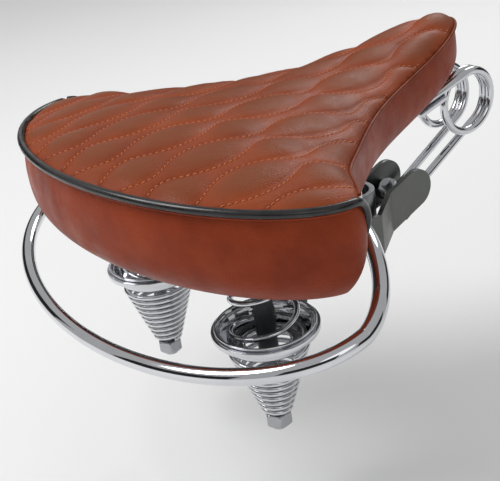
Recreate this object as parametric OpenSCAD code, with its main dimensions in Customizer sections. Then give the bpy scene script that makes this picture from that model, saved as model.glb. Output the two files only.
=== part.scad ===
// Sprung bicycle saddle with a quilted cover, chromed crash rail, twin cone springs and a looped nose spring.
// Origin: centre of the seat post bore. +X is the rider's right, +Y the nose, +Z up.

/* [Seat] */
// Length of the cushion from its rear edge to the nose tip
seat_length = 264; // [250:1:275]
// Distance from the seat post axis back to the rear edge
seat_rear = 175; // [168:1:180]
// Outline width factor of the wide rear, about 1.3 times the half width
rear_spread = 164; // [158:1:168]
// Outline width factor of the nose
nose_spread = 34; // [33:1:38]
// Height of the top edge at the rear, above the bore's centre
edge_rear = 88; // [84:1:94]
// Height of the top edge half way along
edge_mid = 80; // [77:1:84]
// Height of the top edge at the nose
edge_nose = 98; // [96:1:100]
// Rise of the crown above the edge
crown = 15; // [12:1:18]
// Height of the rear skirt
skirt_height = 43; // [38:1:47]
// Height of the side panels
side_height = 27; // [24:1:27]
// Thickness of the covering
cover_thickness = 2; // [1.5:0.1:2.5]
// Diameter of the piping cord
piping_d = 4; // [3:0.5:5]

/* [Suspension] */
// Half the distance between the two rear springs
spring_x = 54; // [50:1:56]
// Distance from the seat post axis back to the rear springs
spring_back = 108; // [104:1:114]
// Height of the spring cup's rim
cup_rim_z = -2; // [-4:1:2]
// Outer radius of the spring cup's rim
cup_r = 24; // [22:0.5:26]
// Depth of the spring cup
cup_depth = 12; // [9:1:14]
// Wire diameter of the upper springs
upper_wire = 3; // [2.5:0.1:3.2]
// Wire diameter of the lower springs
lower_wire = 2.8; // [2.4:0.1:3]
// Turns in each lower spring
lower_turns = 10.5; // [8:0.5:11]

/* [Rails] */
// Diameter of the rail and nose coil wire
rail_d = 5; // [4.5:0.1:5.2]
// Half the distance between the two rails
rail_x = 6.5; // [6.2:0.1:8]
// Distance from the seat post axis forward to the nose coil's axis
coil_y = 90; // [87:1:93]
// Height of the nose coil's axis
coil_z = 48; // [47:0.5:48.5]
// Mean radius of the nose coil
coil_r = 19; // [18.5:0.5:19.5]
// Slope of the rails up to the nose, in degrees
rail_slope = 28; // [25:1:30]

/* [Crash rail] */
// Diameter of the crash rail's tube
bumper_d = 8; // [7:0.5:9.5]
// Half width of the crash rail
bumper_x = 138; // [134:1:142]
// Distance from the seat post axis back to the crash rail's rear
bumper_back = 186; // [182:1:190]

/* [Seat post clamp] */
// Radius of the seat post bore
post_r = 11.1; // [11:0.1:12.7]
// Height of the clamp collar
collar_height = 35; // [30:1:38]

/* [Hidden] */

eps = 0.02;
hole_gap = 0.15;    // round a bolt in the pan
mid_y = seat_length / 2 - seat_rear;
ring_points = 64;
waist = 0.15;       // place of the waist along the saddle, 0 at its middle and 1 at its rear
waist_rate = 4.5;   // how suddenly the rear narrows into the nose
hip_flare = 30;     // the part of the width that is lost at the hips
hip_place = 0.36;
hip_rate = 26;
hip = 65;           // outline angle where the rear skirt meets the side panels
pan_drop = 24;      // from the edge down to the pan
pan_t = 2;
spine_rear = -seat_rear + 80;
spine_front = seat_length - seat_rear - 24;
bolt_r = 4;         // M8
hex_r = 7.5;        // M8 across corners
small_bolt_r = 3;   // M6
small_hex_r = 5.77;
sleeve_r = 5.2;
cup_floor = cup_rim_z - cup_depth;
lower_pitch = lower_wire + 0.9;
lower_top_r = cup_r - 3.5;
lower_end_r = 6.8;
lower_start_z = cup_floor - lower_wire / 2 - 0.1;
lower_end_z = lower_start_z - lower_turns * lower_pitch;
nut_top = lower_end_z - lower_wire / 2 - 0.2;
nut_height = 8.5;
upper_start_z = cup_floor + 1.6 + upper_wire / 2;
seat_washer_z = pan_under(-spring_back) - 3.2;
upper_end_z = seat_washer_z - upper_wire / 2 - 0.1;
upper_turns = 4;
upper_wide_r = cup_r - 4.6;
upper_narrow_r = 10.5;
coil_pitch = rail_d + 0.35;
coil_start = rail_slope - 90;
leg_slope = 13;     // of the nose spring's legs, along the pan's nose
coil_sweep = 90 + leg_slope - coil_start + 360;
coil_end_x = rail_x + coil_pitch * coil_sweep / 360;
rail_rear_y = 29;
leg_length = 46;
coil_gap = 0.4;     // between the coil's end and the leg that carries on from it
plate_t = 3;
plate_in = 20;      // half gap between the side plates beside the seat post
plate_front_in = 11.5;
plate_rear_y = -47;
plate_rear_half = 9;
plate_fold = [2, 18];      // where the plates fold in toward the rails
plate_nose = [40, 7.5];    // centre of the round front end, seen from the side
plate_nose_r = 12;
plate_rise = 20;           // slope of the plates' front half
tilt_y = -22;
bridge_y = 36;

// Saddle outline seen from above. Angle 0 is the rear centre and 180 the nose tip.
function smooth_step(c, place, rate) = 1 / (1 + exp(-rate * (c - place)));
function spread(a) = nose_spread
  + (rear_spread - nose_spread - hip_flare) * smooth_step(cos(a), waist, waist_rate)
  + hip_flare * smooth_step(cos(a), hip_place, hip_rate);
function outline(a) = [sin(a) * spread(a), mid_y - seat_length / 2 * cos(a)];
function normal(a) = let (d = outline(a + 0.5) - outline(a - 0.5), n = [d[1], -d[0]]) n / norm(n);
function offset_point(a, out) = outline(a) + out * normal(a);
function toward_spine(p, c) = let (s = [0, min(max(p[1], spine_rear), spine_front)]) s + c * (p - s);
function edge_at(y) = let (c = (mid_y - y) / (seat_length / 2))
  edge_mid + (c > 0 ? edge_rear - edge_mid : edge_nose - edge_mid) * c * c;
function edge_z(a) = edge_at(outline(a)[1]);
function pan_top(y) = edge_at(y) - pan_drop;
function pan_under(y) = pan_top(y) - pan_t;

// Closed surface through rings of equal, even length. Each end is closed by a row of quads across its ring.
module ring_loft(rings) {
  n = len(rings[0]);
  m = len(rings);
  last = (m - 1) * n;
  polyhedron(
    points = [for (r = rings) for (p = r) p],
    faces = concat(
      [for (j = [0:n / 2 - 2]) [j, j + 1, n - 2 - j, n - 1 - j]],
      [for (i = [0:m - 2]) for (j = [0:n - 1]) let (k = (j + 1) % n) each [
        [i * n + j, (i + 1) * n + j, (i + 1) * n + k],
        [i * n + j, (i + 1) * n + k, i * n + k]]],
      [for (j = [0:n / 2 - 2]) [last + n - 1 - j, last + n - 2 - j, last + j + 1, last + j]]));
}

// Ring of the saddle outline, drawn in to the share c of its size, at a height above the edge.
// The inset shrinks toward the nose tip, which is narrower than the rest.
function inset_share(a) = cos(a) > 0 ? 1 : min(1, (abs(outline(a)[0]) + 24) / 30);
function saddle_ring(c, inset, rise) = [for (i = [0:ring_points - 1])
  let (a = -i * 360 / ring_points, p = toward_spine(offset_point(a, -inset * inset_share(a)), c))
    [p[0], p[1], edge_at(p[1]) + rise]];
pan_shares = [0.05, 0.35, 0.7, 1];
function crown_rise(c) = crown * (1 - c * c);

// Round wire along a path. The side vector is never parallel to the path.
module wire(path, d, sides, side) {
  last = len(path) - 1;
  ring_loft([for (i = [0:last])
    let (t = path[min(i + 1, last)] - path[max(i - 1, 0)],
         u = cross(t, side) / norm(cross(t, side)),
         v = cross(t, u) / norm(cross(t, u)))
    [for (j = [0:sides - 1]) path[i] + d / 2 * (cos(-j * 360 / sides) * u + sin(-j * 360 / sides) * v)]]);
}

function turn(x, y, r, a, z) = [x + r * cos(a), y + r * sin(a), z];

// Conical coil spring standing on its first point
module cone_spring(x, z0, z1, r0, r1, turns, d) {
  steps = ceil(turns * 18);
  wire([for (i = [0:steps]) let (s = i / steps)
    turn(x, -spring_back, r0 + (r1 - r0) * s, 360 * turns * s, z0 + (z1 - z0) * s)], d, 8, [0, 0, 1]);
}

module mirror_x(side) {
  if (side < 0) mirror([1, 0, 0]) children();
  else children();
}

// Band of covering that hangs from the edge, from one outline angle to another
module band(a0, a1, height, profile, steps) {
  ring_loft([for (i = [0:steps]) let (a = a0 + (a1 - a0) * i / steps) concat(
    [for (p = profile) let (q = offset_point(a, p[0])) [q[0], q[1], edge_z(a) - 0.5 - p[1] * height]],
    [for (k = [len(profile) - 1:-1:0]) let (p = profile[k], q = offset_point(a, p[0] - cover_thickness))
      [q[0], q[1], edge_z(a) - 0.5 - p[1] * height]])]);
}
skirt_profile = [[-2, 0.02], [1.5, 0.2], [2.5, 0.45], [1.5, 0.7], [-2, 0.9], [-6, 1]];
side_profile = [[-2, 0.02], [0, 0.25], [0.5, 0.5], [-1, 0.8], [-4, 1]];

module hex(r, h) cylinder(r = r, h = h, $fn = 6);
module along_x(x, y, z) translate([x, y, z]) rotate([0, 90, 0]) children();

module cover_top() color([0.59, 0.31, 0.2]) ring_loft([
  saddle_ring(0.05, 3, crown),
  saddle_ring(0.4, 3, crown_rise(0.4)),
  saddle_ring(0.75, 3, crown_rise(0.75)),
  saddle_ring(1, 6, crown_rise(0.9)),
  saddle_ring(1, 3, 0),
  saddle_ring(1, 3 + cover_thickness, 0),
  saddle_ring(1, 6 + cover_thickness, crown_rise(0.9) - cover_thickness),
  saddle_ring(0.75, 3, crown_rise(0.75) - cover_thickness),
  saddle_ring(0.4, 3, crown_rise(0.4) - cover_thickness),
  saddle_ring(0.05, 3, crown - cover_thickness)]);

module rear_skirt() color([0.5, 0.2, 0.12])
  band(hip, -hip, skirt_height, skirt_profile, 36);

module side_panel(side) color([0.5, 0.2, 0.12]) mirror_x(side)
  band(179.6, hip + 0.4, side_height, side_profile, 30);

module edge_piping() color([0.03, 0.03, 0.03])
  wire([for (i = [0:44]) let (a = hip * (1 - i / 22), p = offset_point(a, 1.5)) [p[0], p[1], edge_z(a) + 0.6]],
    piping_d, 8, [0, 0, 1]);

foam_drop = cover_thickness + 0.9;
module foam_pad() color([0.85, 0.8, 0.6]) difference() {
  ring_loft([
    saddle_ring(0.05, 4, crown - foam_drop),
    saddle_ring(0.4, 4, crown_rise(0.4) - foam_drop),
    saddle_ring(0.75, 4, crown_rise(0.75) - foam_drop),
    saddle_ring(1, 9, crown_rise(0.9) - foam_drop - 0.4),
    saddle_ring(1, 7, -2),
    for (i = [3:-1:0]) saddle_ring(pan_shares[i], 9, 0.8 - pan_drop)]);
  for (s = [-1, 1]) translate([s * spring_x, -spring_back, pan_top(-spring_back) - 3])
    cylinder(r = hex_r + 0.5, h = 10, $fn = 48);
  for (s = [-1, 1]) translate([s * crash_bolt_x, clip_y + clip_width / 2, pan_top(clip_y) - 2])
    cylinder(r = small_bolt_r + 0.3, h = 5, $fn = 32);
  on_legs() for (y = bracket_bolt_y) translate([0, y, 0]) cylinder(r = small_bolt_r + 0.3, h = 9, $fn = 32);
}

module base_pan() color([0.12, 0.12, 0.12]) difference() {
  ring_loft([
    for (c = pan_shares) saddle_ring(c, 10, -pan_drop),
    for (i = [3:-1:0]) saddle_ring(pan_shares[i], 10, -pan_drop - pan_t)]);
  for (s = [-1, 1]) {
    translate([s * spring_x, -spring_back, seat_washer_z]) cylinder(r = bolt_r + hole_gap, h = 9, $fn = 32);
    translate([s * crash_bolt_x, clip_y + clip_width / 2, crash_end_z])
      cylinder(r = small_bolt_r + hole_gap, h = 20, $fn = 32);
  }
  on_legs() for (y = bracket_bolt_y) translate([0, y, -5])
    cylinder(r = small_bolt_r + hole_gap, h = 20, $fn = 32);
}

// Nose bracket: a pressed strap under the two legs of the nose spring, held by two bolts.
// Lengths along the legs run back from the end of the coil.
bracket_bolt_y = [-38, -26];
bracket_t = 2.4;
bracket_half = coil_end_x + 4;
module on_legs() translate([0, coil_y - coil_r * sin(leg_slope), coil_z + coil_r * cos(leg_slope)])
  rotate([leg_slope, 0, 0]) children();
module nose_bracket() color("silver") on_legs() difference() {
  translate([-bracket_half, bracket_bolt_y[0] - 6, -rail_d / 2 - bracket_t - 0.1])
    cube([2 * bracket_half, bracket_bolt_y[1] - bracket_bolt_y[0] + 12, bracket_t]);
  for (y = bracket_bolt_y) translate([0, y, -10]) cylinder(r = small_bolt_r, h = 12, $fn = 32);
}
module nose_bracket_bolts() color("silver") on_legs() for (y = bracket_bolt_y)
  translate([0, y, -rail_d / 2 - bracket_t - 0.1]) {
    translate([0, 0, -4]) hex(small_hex_r, 4);
    translate([0, 0, -eps]) cylinder(r = small_bolt_r, h = bracket_t + rail_d + 2.6, $fn = 32);
  }
module nose_leg(side) color("silver") mirror_x(side) on_legs()
  translate([coil_end_x, -coil_gap, 0]) rotate([90, 0, 0]) cylinder(d = rail_d, h = leg_length, $fn = 32);

// One rear spring's bolt, hanging from the pan
module spring_bolt(side) color([0.55, 0.55, 0.58]) translate([side * spring_x, -spring_back, 0]) {
  translate([0, 0, pan_top(-spring_back) + 0.6]) intersection() {
    hex(hex_r, 5);
    cylinder(r = hex_r, h = 5, $fn = 48);
  }
  translate([0, 0, nut_top - nut_height - 1.5])
    cylinder(r = bolt_r, h = pan_top(-spring_back) + 0.6 - nut_top + nut_height + 1.5 + eps, $fn = 48);
}
module spring_sleeve(side) color([0.12, 0.12, 0.13])
  translate([side * spring_x, -spring_back, cup_floor - 6]) difference() {
    cylinder(r = sleeve_r, h = seat_washer_z - 0.1 - cup_floor + 6, $fn = 48);
    translate([0, 0, -1]) cylinder(r = bolt_r, h = 200, $fn = 48);
  }
module spring_nuts() color("silver") for (s = [-1, 1])
  translate([s * spring_x, -spring_back, nut_top - nut_height]) difference() {
    hex(hex_r, nut_height);
    translate([0, 0, -1]) cylinder(r = bolt_r, h = nut_height + 2, $fn = 48);
  }
module pan_washers() color("silver") for (s = [-1, 1])
  translate([s * spring_x, -spring_back, seat_washer_z]) difference() {
    cylinder(r = upper_narrow_r + 4, h = 2, $fn = 64);
    translate([0, 0, -1]) cylinder(r = bolt_r, h = 4, $fn = 48);
  }

// Crash rail: a horseshoe behind and below the skirt whose ends climb to clips under the pan
crash_end_x = 54;
crash_end_y = -40;
clip_y = -53;
clip_width = 11;
crash_bolt_x = crash_end_x - 10;
rise_start = -114;
bumper_level = 8;
bumper_tilt = 0.26; // rise of the crash rail for each mm forward
crash_end_z = pan_under(clip_y) - 1 - bumper_d / 2;
climb_steps = 16;
function bumper_point(a) = let (y = (bumper_back + rise_start) * (1 - cos(a)))
  [bumper_x * sin(a), y - bumper_back, bumper_level + bumper_tilt * y];
side_level = bumper_point(90)[2];
climb_poles = [
  [bumper_x, rise_start, side_level],
  [bumper_x, rise_start + 17, side_level + 9],
  [bumper_x - 20, rise_start + 34, crash_end_z + 3],
  [crash_end_x, clip_y - 2, crash_end_z]];
function bezier(p, s) = pow(1 - s, 3) * p[0] + 3 * s * pow(1 - s, 2) * p[1]
  + 3 * s * s * (1 - s) * p[2] + pow(s, 3) * p[3];
function climb(side, s) = let (p = bezier(climb_poles, s)) [side * p[0], p[1], p[2]];
module crash_rail() color("silver") wire(concat(
    [[crash_end_x, crash_end_y, crash_end_z]],
    [for (i = [climb_steps:-1:1]) climb(1, i / climb_steps)],
    [for (i = [0:40]) bumper_point(90 - i * 180 / 40)],
    [for (i = [1:climb_steps]) climb(-1, i / climb_steps)],
    [[-crash_end_x, crash_end_y, crash_end_z]]), bumper_d, 12, [0, 0, 1]);
module crash_rail_clips() color("silver") for (s = [-1, 1]) mirror_x(s) difference() {
  translate([crash_bolt_x - 6, clip_y, crash_end_z - bumper_d / 2 - 2])
    cube([crash_end_x - crash_bolt_x + bumper_d / 2 + 8, clip_width, bumper_d + 2.9]);
  translate([crash_end_x, clip_y - 1, crash_end_z]) rotate([-90, 0, 0])
    cylinder(r = bumper_d / 2 + 0.1, h = clip_width + 2, $fn = 48);
  translate([crash_bolt_x, clip_y + clip_width / 2, 0]) cylinder(r = small_bolt_r, h = 90, $fn = 32);
}
module crash_rail_bolts() color("silver") for (s = [-1, 1])
  translate([s * crash_bolt_x, clip_y + clip_width / 2, crash_end_z - bumper_d / 2 - 6]) {
    hex(small_hex_r, 4);
    translate([0, 0, 4 - eps]) cylinder(r = small_bolt_r, h = bumper_d + 5, $fn = 32);
  }

module upper_spring(side) color("silver") mirror_x(side)
  cone_spring(spring_x, upper_start_z, upper_end_z, upper_wide_r, upper_narrow_r, upper_turns, upper_wire);
module lower_spring(side) color("silver") mirror_x(side)
  cone_spring(spring_x, lower_start_z, lower_end_z, lower_top_r, lower_end_r, lower_turns, lower_wire);

// Pressed bowl that holds the foot of the upper spring and the head of the lower one
cup_hole_r = 11.5;
module spring_cup(side) color("silver") translate([side * spring_x, -spring_back, cup_rim_z])
  rotate_extrude($fn = 96) polygon([
    [cup_hole_r, -cup_depth], [cup_r - 3, -cup_depth], [cup_r - 1, -cup_depth + 4], [cup_r - 0.5, -1.5],
    [cup_r + 2, -1.5], [cup_r + 2, 0], [cup_r - 2, 0], [cup_r - 2.5, -cup_depth + 4],
    [cup_r - 4, -cup_depth + 1.5], [cup_hole_r, -cup_depth + 1.5]]);

// Yoke: a flat pressing with a ring for each cup and two arms that meet between the side plates
yoke_top = cup_rim_z - 1.6;
yoke_t = 3;
yoke_bolt_z = 4;
module yoke() color("silver") difference() {
  union() {
    translate([0, 0, yoke_top - yoke_t]) linear_extrude(yoke_t) {
      for (s = [-1, 1]) {
        translate([s * spring_x, -spring_back]) circle(r = cup_r + 4, $fn = 64);
        polygon([[s * 28, -spring_back + 14], [s * 66, -spring_back + 16],
          [s * (plate_in - 0.2), plate_rear_y - 1], [s * 2, plate_rear_y - 8]]);
      }
      translate([-plate_in + 0.2, plate_rear_y - 8]) square([2 * plate_in - 0.4, 20]);
    }
    for (s = [-1, 1]) translate([s * (plate_in - 0.2 - yoke_t / 2) - yoke_t / 2, plate_rear_y, yoke_top - yoke_t])
      cube([yoke_t, 12, 20]);
  }
  for (s = [-1, 1]) translate([s * spring_x, -spring_back, yoke_top - yoke_t - 1])
    cylinder(r = cup_r - 0.4, h = yoke_t + 2, $fn = 96);
  along_x(-40, plate_rear_y + 6, yoke_bolt_z) cylinder(r = small_bolt_r, h = 80, $fn = 32);
}
module yoke_bolts() color("silver") for (s = [-1, 1]) mirror_x(s) {
  along_x(plate_in + plate_t, plate_rear_y + 6, yoke_bolt_z) hex(small_hex_r, 4);
  along_x(plate_in - 9, plate_rear_y + 6, yoke_bolt_z) cylinder(r = small_bolt_r, h = plate_t + 9 + eps, $fn = 32);
  along_x(plate_in - 8.2, plate_rear_y + 6, yoke_bolt_z) difference() {
    hex(small_hex_r, 4.8);
    translate([0, 0, -1]) cylinder(r = small_bolt_r, h = 8, $fn = 32);
  }
}

// Side plate: a folded strip, wide beside the seat post and narrow beside the rails, with a round front end
plate_tangent = plate_nose_r * [sin(plate_rise), -cos(plate_rise)];
function plate_slope(p, y) = [y, p[1] - (p[0] - y) * tan(plate_rise)];
module plate_plan() polygon([
  [plate_in, plate_rear_y], [plate_in + plate_t, plate_rear_y], [plate_in + plate_t, plate_fold[0] + 1],
  [plate_front_in + plate_t, plate_fold[1] + 1], [plate_front_in + plate_t, 60],
  [plate_front_in, 60], [plate_front_in, plate_fold[1]], [plate_in, plate_fold[0]]]);
module plate_profile() {
  translate(plate_nose) circle(r = plate_nose_r, $fn = 96);
  polygon([
    [plate_rear_y, plate_rear_half], plate_slope(plate_nose - plate_tangent, plate_fold[0]),
    plate_nose - plate_tangent, plate_nose + plate_tangent,
    plate_slope(plate_nose + plate_tangent, 3), [-3, -18.5], [-10, -plate_rear_half],
    [plate_rear_y, -plate_rear_half]]);
}
module side_plate(side) color("silver") mirror_x(side) difference() {
  intersection() {
    translate([0, 0, -40]) linear_extrude(80) plate_plan();
    rotate([90, 0, 90]) linear_extrude(40) plate_profile();
  }
  along_x(0, plate_rear_y + 6, yoke_bolt_z) cylinder(r = small_bolt_r, h = 40, $fn = 32);
  along_x(0, tilt_y, 0) cylinder(r = bolt_r, h = 40, $fn = 48);
}

// Rail and nose coil, bent from one wire: straight up from the side plates, then round the coil's axis
function coil_point(a, x) = [x, coil_y + coil_r * cos(a), coil_z + coil_r * sin(a)];
rail_foot = coil_point(coil_start, rail_x);
rail_length = (rail_foot[1] - rail_rear_y) / cos(rail_slope);
module rail(side) color("silver") mirror_x(side) wire(concat(
  [for (s = [0:0.25:0.75]) rail_foot - (1 - s) * rail_length * [0, cos(rail_slope), sin(rail_slope)]],
  [for (i = [0:54]) let (s = i / 54) coil_point(coil_start + coil_sweep * s, rail_x + coil_pitch * coil_sweep / 360 * s)]),
  rail_d, 12, [1, 0, 0]);

// Bridge under the rails, cap over them, and the bolt that draws the two together
cap_height = 8;
function rail_z(y) = rail_foot[2] - (rail_foot[1] - y) * tan(rail_slope);
module on_rails() translate([0, bridge_y, rail_z(bridge_y)]) rotate([rail_slope, 0, 0]) children();
module rail_grooves() for (s = [-1, 1]) translate([s * rail_x, 20, 0]) rotate([90, 0, 0])
  cylinder(d = rail_d + 0.1, h = 40, $fn = 32);
module rail_bridge() color([0.15, 0.15, 0.16]) on_rails() difference() {
  translate([-plate_front_in + 0.2, -7, -7]) cube([2 * plate_front_in - 0.4, 13, 6.6]);
  rail_grooves();
  translate([0, 0, -10]) cylinder(r = small_bolt_r, h = 20, $fn = 32);
}
module bridge_cap() color([0.15, 0.15, 0.16]) on_rails() difference() {
  translate([-plate_front_in + 0.2, -7, 0.4]) cube([2 * plate_front_in - 0.4, 13, cap_height]);
  rail_grooves();
  translate([0, 0, -10]) cylinder(r = small_bolt_r, h = 20, $fn = 32);
}
module bridge_washer() color("silver") on_rails() translate([0, 0, cap_height + 0.4]) difference() {
  cylinder(r = 6.2, h = 1.4, $fn = 48);
  translate([0, 0, -1]) cylinder(r = small_bolt_r, h = 4, $fn = 32);
}
module bridge_nut() color("silver") on_rails() translate([0, 0, cap_height + 1.8]) difference() {
  hex(small_hex_r, 5);
  translate([0, 0, -1]) cylinder(r = small_bolt_r, h = 8, $fn = 32);
}
module bridge_bolt() color("silver") on_rails() {
  translate([0, 0, -11]) hex(small_hex_r, 4);
  translate([0, 0, -7 - eps]) cylinder(r = small_bolt_r, h = cap_height + 16, $fn = 32);
}

// Split collar that grips the seat post, with two ears drawn together by the tilt bolt
ear_out = 12;
slit = 3;
module post_collar() color([0.6, 0.6, 0.62]) difference() {
  union() {
    translate([0, 0, -collar_height / 2]) cylinder(r = post_r + 3.4, h = collar_height, $fn = 96);
    along_x(-ear_out, tilt_y, 0) cylinder(r = 9, h = 2 * ear_out, $fn = 64);
    translate([-ear_out, tilt_y, -9]) cube([2 * ear_out, -tilt_y - post_r + 3, 18]);
  }
  translate([0, 0, -collar_height]) cylinder(r = post_r, h = 2 * collar_height, $fn = 128);
  translate([-slit / 2, tilt_y - 20, -collar_height]) cube([slit, 20 - tilt_y, 2 * collar_height]);
  along_x(-40, tilt_y, 0) cylinder(r = bolt_r + 0.05, h = 80, $fn = 48);
}
module tilt_washers() color("silver") for (s = [-1, 1]) mirror_x(s)
  along_x(ear_out + 0.1, tilt_y, 0) difference() {
    cylinder(r = 10, h = plate_in - ear_out - 0.1, $fn = 72);
    translate([0, 0, -1]) cylinder(r = bolt_r, h = 20, $fn = 48);
  }
module tilt_bolt() color("silver") {
  along_x(-plate_in - plate_t - 9, tilt_y, 0)
    cylinder(r = bolt_r, h = 2 * plate_in + 2 * plate_t + 9 + eps, $fn = 48);
  along_x(plate_in + plate_t, tilt_y, 0) hex(hex_r, 5.3);
}
module tilt_nut() color("silver") along_x(-plate_in - plate_t - 6.8, tilt_y, 0) difference() {
  hex(hex_r, 6.8);
  translate([0, 0, -1]) cylinder(r = bolt_r, h = 10, $fn = 48);
}

cover_top();
rear_skirt();
side_panel(-1);  // side_panel_left
side_panel(1);  // side_panel_right
edge_piping();
foam_pad();
base_pan();
nose_bracket();
nose_bracket_bolts();
nose_leg(-1);  // nose_leg_left
nose_leg(1);  // nose_leg_right
spring_bolt(-1);  // spring_bolt_left
spring_bolt(1);  // spring_bolt_right
spring_sleeve(-1);  // spring_sleeve_left
spring_sleeve(1);  // spring_sleeve_right
spring_nuts();
pan_washers();
crash_rail();
crash_rail_clips();
crash_rail_bolts();
upper_spring(-1);  // upper_spring_left
upper_spring(1);  // upper_spring_right
lower_spring(-1);  // lower_spring_left
lower_spring(1);  // lower_spring_right
spring_cup(-1);  // spring_cup_left
spring_cup(1);  // spring_cup_right
yoke();
yoke_bolts();
side_plate(-1);  // side_plate_left
side_plate(1);  // side_plate_right
rail(-1);  // rail_left
rail(1);  // rail_right
rail_bridge();
bridge_cap();
bridge_bolt();
bridge_washer();
bridge_nut();
post_collar();
tilt_washers();
tilt_bolt();
tilt_nut();
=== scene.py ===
"""Looks of a sprung bicycle saddle with a quilted leather top, chromed springs and a chromed crash rail.

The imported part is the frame: metres, +X the rider's right, +Y the nose, +Z up, with the origin in the bore.
"""

import math

import bmesh
import bpy
import numpy as np
from mathutils import Matrix, Vector


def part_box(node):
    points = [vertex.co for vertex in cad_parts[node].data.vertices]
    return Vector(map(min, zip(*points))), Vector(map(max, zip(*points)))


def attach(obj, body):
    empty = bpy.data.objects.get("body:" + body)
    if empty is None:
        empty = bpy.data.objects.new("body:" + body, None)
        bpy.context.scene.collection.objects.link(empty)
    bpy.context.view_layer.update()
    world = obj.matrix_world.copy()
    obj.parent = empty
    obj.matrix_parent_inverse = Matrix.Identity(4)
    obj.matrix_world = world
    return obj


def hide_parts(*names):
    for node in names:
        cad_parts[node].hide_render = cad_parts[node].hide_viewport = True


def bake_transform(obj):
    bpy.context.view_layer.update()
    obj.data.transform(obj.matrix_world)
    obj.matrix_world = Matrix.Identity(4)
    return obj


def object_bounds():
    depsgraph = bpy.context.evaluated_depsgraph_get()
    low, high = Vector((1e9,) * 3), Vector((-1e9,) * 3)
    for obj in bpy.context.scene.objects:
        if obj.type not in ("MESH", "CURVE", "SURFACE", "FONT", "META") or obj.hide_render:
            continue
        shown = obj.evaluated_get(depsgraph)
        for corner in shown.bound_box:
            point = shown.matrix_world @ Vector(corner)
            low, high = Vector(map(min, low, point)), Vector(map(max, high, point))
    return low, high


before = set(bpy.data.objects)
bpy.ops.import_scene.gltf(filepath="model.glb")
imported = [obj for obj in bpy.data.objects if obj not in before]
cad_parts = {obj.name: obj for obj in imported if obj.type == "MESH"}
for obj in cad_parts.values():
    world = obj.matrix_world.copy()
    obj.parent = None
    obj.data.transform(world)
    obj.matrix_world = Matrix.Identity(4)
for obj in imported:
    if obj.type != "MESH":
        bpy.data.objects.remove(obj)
cad_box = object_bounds()
mm = 0.001

# ---------------------------------------------------------------- driving dimensions, as in the part

SEAT_LENGTH = 264 * mm
SEAT_REAR = 175 * mm
REAR_SPREAD = 164 * mm
NOSE_SPREAD = 34 * mm
WAIST = 0.15
WAIST_RATE = 4.5
HIP_FLARE = 30 * mm
HIP_PLACE = 0.36
HIP_RATE = 26
EDGE_REAR = 88 * mm
EDGE_MID = 80 * mm
EDGE_NOSE = 98 * mm
CROWN = 13.5 * mm               # less than the part's, because the pillows rise above it
MID_Y = SEAT_LENGTH / 2 - SEAT_REAR
SPINE = (-95 * mm, 65 * mm)     # the ends of the middle line that rings are drawn in toward
HIP = 65                        # outline angle where the rear skirt meets the side panels
SKIRT_HEIGHT = 43 * mm
SIDE_HEIGHT = 27 * mm
COVER_THICKNESS = 2 * mm
PIPING_RADIUS = 2 * mm
PAN_DROP = 24 * mm
PAN_THICKNESS = 2 * mm

SPRING_Y = -108 * mm
SPRING_X = 54 * mm
CUP_RIM_Z = -2 * mm
CUP_RADIUS = 24 * mm
RAIL_X = 6.5 * mm
RAIL_RADIUS = 2.5 * mm
RAIL_SLOPE = math.radians(28)
LEG_SLOPE = math.radians(13)
COIL_CENTRE = (90 * mm, 48 * mm)
COIL_RADIUS = 19 * mm
RAIL_REAR = 29 * mm
LEG_LENGTH = 46 * mm

BUMPER_RADIUS = 4 * mm
BUMPER_X = 138 * mm
BUMPER_BACK = 186 * mm
BUMPER_LEVEL = 8 * mm
BUMPER_TILT = 0.26              # rise of the crash rail for each metre forward
RISE_START = -114 * mm
CLIP_Y = -53 * mm
CRASH_END = (54 * mm, -40 * mm)

TURN = 2 * math.pi


# ---------------------------------------------------------------- saddle outline

def outline(a):
    """Plan points of the saddle's edge at angles in degrees: 0 is the rear centre and 180 the nose tip."""
    a = np.radians(np.asarray(a, float))
    waist = 1 / (1 + np.exp(-WAIST_RATE * (np.cos(a) - WAIST)))
    hips = 1 / (1 + np.exp(-HIP_RATE * (np.cos(a) - HIP_PLACE)))
    spread = NOSE_SPREAD + (REAR_SPREAD - NOSE_SPREAD - HIP_FLARE) * waist + HIP_FLARE * hips
    return np.stack([np.sin(a) * spread, MID_Y - SEAT_LENGTH / 2 * np.cos(a)], -1)


def outward(a):
    """Unit normals of the outline, pointing away from the saddle."""
    d = outline(np.asarray(a, float) + 0.5) - outline(np.asarray(a, float) - 0.5)
    n = np.stack([d[..., 1], -d[..., 0]], -1)
    return n / np.linalg.norm(n, axis=-1, keepdims=True)


def edge_at(y):
    """Height of the top edge at y: lowest half way along, and rising to the rear and the nose."""
    c = (MID_Y - y) / (SEAT_LENGTH / 2)
    return EDGE_MID + np.where(c > 0, EDGE_REAR - EDGE_MID, EDGE_NOSE - EDGE_MID) * c * c


def edge_point(a, out=0.0, drop=0.0):
    """Points beside the saddle's edge: out along the outline's normal and down from the edge."""
    p = outline(a) + np.asarray(out, float)[..., None] * outward(a)
    return np.concatenate([p, (edge_at(outline(a)[..., 1]) - drop)[..., None]], -1)


EDGE_ANGLES = np.linspace(0, 180, 721)
EDGE_LINE = outline(EDGE_ANGLES)


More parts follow.
